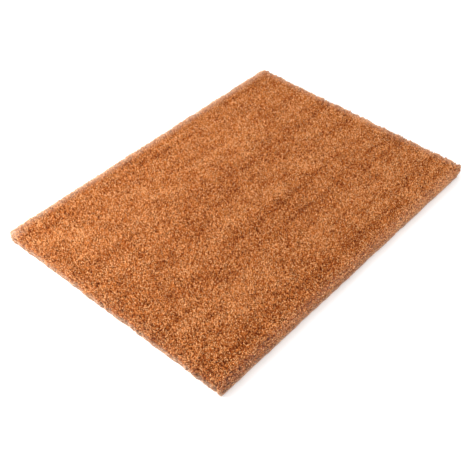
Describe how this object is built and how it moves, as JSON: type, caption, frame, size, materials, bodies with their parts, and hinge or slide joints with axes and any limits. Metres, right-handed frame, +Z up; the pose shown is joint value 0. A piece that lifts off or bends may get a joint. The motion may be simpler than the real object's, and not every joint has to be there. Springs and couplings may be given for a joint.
{
  "type": "door mat",
  "caption": "Rectangular coir door mat: a dense brush of cut coconut fibre standing upright in a thin cast PVC backing sheet.",
  "frame": {"origin": "middle of the underside, on the surface the mat lies on", "axes": "+X along the long side and along the strips of pile, +Y along the short side, +Z up out of the pile"},
  "size_m": [0.7, 0.5, 0.022],
  "materials": {
    "coir_pile": "matte",
    "pvc_backing": "matte"
  },
  "bodies": {
    "root": {"backing": "pvc_backing", "pile_strip_01": "coir_pile", "pile_strip_02": "coir_pile", "pile_strip_03": "coir_pile", "pile_strip_04": "coir_pile", "pile_strip_05": "coir_pile", "pile_strip_06": "coir_pile", "pile_strip_07": "coir_pile", "pile_strip_08": "coir_pile", "pile_strip_09": "coir_pile", "pile_strip_10": "coir_pile", "pile_strip_11": "coir_pile", "pile_strip_12": "coir_pile", "pile_strip_13": "coir_pile", "pile_strip_14": "coir_pile", "pile_strip_15": "coir_pile", "pile_strip_16": "coir_pile", "pile_strip_17": "coir_pile", "pile_strip_18": "coir_pile", "pile_strip_19": "coir_pile", "pile_strip_20": "coir_pile", "pile_strip_21": "coir_pile", "pile_strip_22": "coir_pile", "pile_strip_23": "coir_pile", "pile_strip_24": "coir_pile", "pile_strip_25": "coir_pile", "pile_strip_26": "coir_pile", "pile_strip_27": "coir_pile", "pile_strip_28": "coir_pile", "pile_strip_29": "coir_pile", "pile_strip_30": "coir_pile", "pile_strip_31": "coir_pile", "pile_strip_32": "coir_pile", "pile_strip_33": "coir_pile", "pile_strip_34": "coir_pile", "pile_strip_35": "coir_pile", "pile_strip_36": "coir_pile", "pile_strip_37": "coir_pile", "pile_strip_38": "coir_pile", "pile_strip_39": "coir_pile", "pile_strip_40": "coir_pile"}
  },
  "joints": []
}
